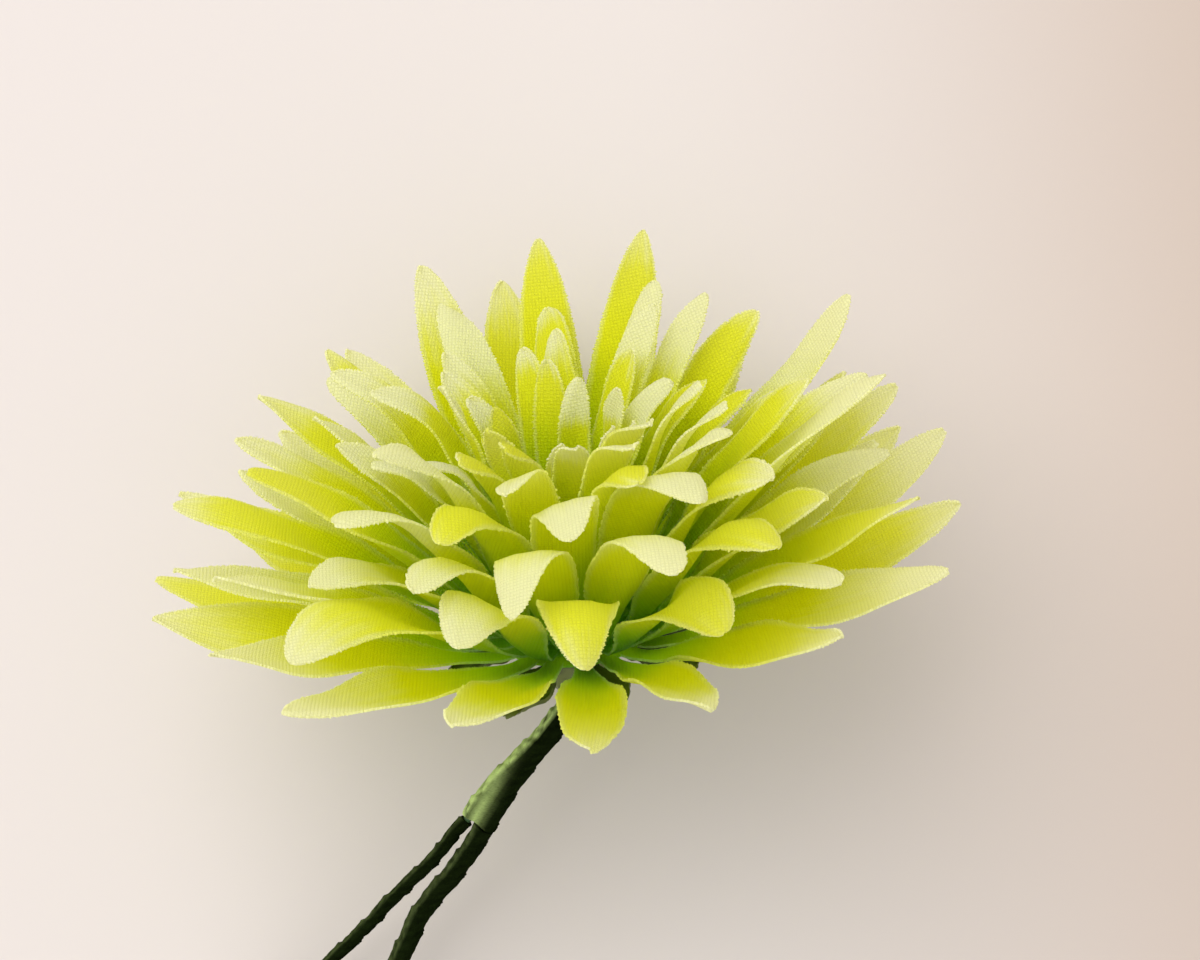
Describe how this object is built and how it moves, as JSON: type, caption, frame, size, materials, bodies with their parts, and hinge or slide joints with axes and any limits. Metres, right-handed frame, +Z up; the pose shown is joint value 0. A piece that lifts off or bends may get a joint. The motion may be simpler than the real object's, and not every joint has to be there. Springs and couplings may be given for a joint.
{
  "type": "boutonniere flower",
  "caption": "Fabric chrysanthemum bloom of stacked petal discs over a small calyx, on a tape-wrapped wire stem with a thinner second wire, lying on its side.",
  "frame": {"origin": "middle of the bounding box at the height of the table it lies on", "axes": "+Z up from the table, -Y towards the cut ends of the wires, +Y the way the bloom faces, 30 degrees above level"},
  "size_m": [0.0818, 0.0948, 0.0584],
  "materials": {
    "petal_whorl_1_finish": "woven, matte",
    "petal_whorl_2_finish": "woven, matte",
    "petal_whorl_3_finish": "woven, matte",
    "petal_whorl_4_finish": "woven, matte",
    "petal_whorl_5_finish": "woven, matte",
    "petal_whorl_6_finish": "woven, matte",
    "petal_whorl_7_finish": "woven, matte",
    "petal_whorl_8_finish": "woven, matte",
    "centre_tuft_finish": "woven, matte",
    "calyx_finish": "moulded, satin",
    "hub_pin_finish": "moulded",
    "stem_wire_finish": "green lacquer on steel wire",
    "side_wire_finish": "green lacquer on steel wire",
    "stem_tape_finish": "waxed crepe paper",
    "leg_tape_finish": "waxed crepe paper",
    "side_tape_finish": "waxed crepe paper"
  },
  "bodies": {
    "root": {"petal_whorl_1": "petal_whorl_1_finish", "petal_whorl_2": "petal_whorl_2_finish", "petal_whorl_3": "petal_whorl_3_finish", "petal_whorl_4": "petal_whorl_4_finish", "petal_whorl_5": "petal_whorl_5_finish", "petal_whorl_6": "petal_whorl_6_finish", "petal_whorl_7": "petal_whorl_7_finish", "petal_whorl_8": "petal_whorl_8_finish", "centre_tuft": "centre_tuft_finish", "calyx": "calyx_finish", "hub_pin": "hub_pin_finish", "stem_wire": "stem_wire_finish", "side_wire": "side_wire_finish", "stem_tape": "stem_tape_finish", "leg_tape": "leg_tape_finish", "side_tape": "side_tape_finish"}
  },
  "joints": []
}
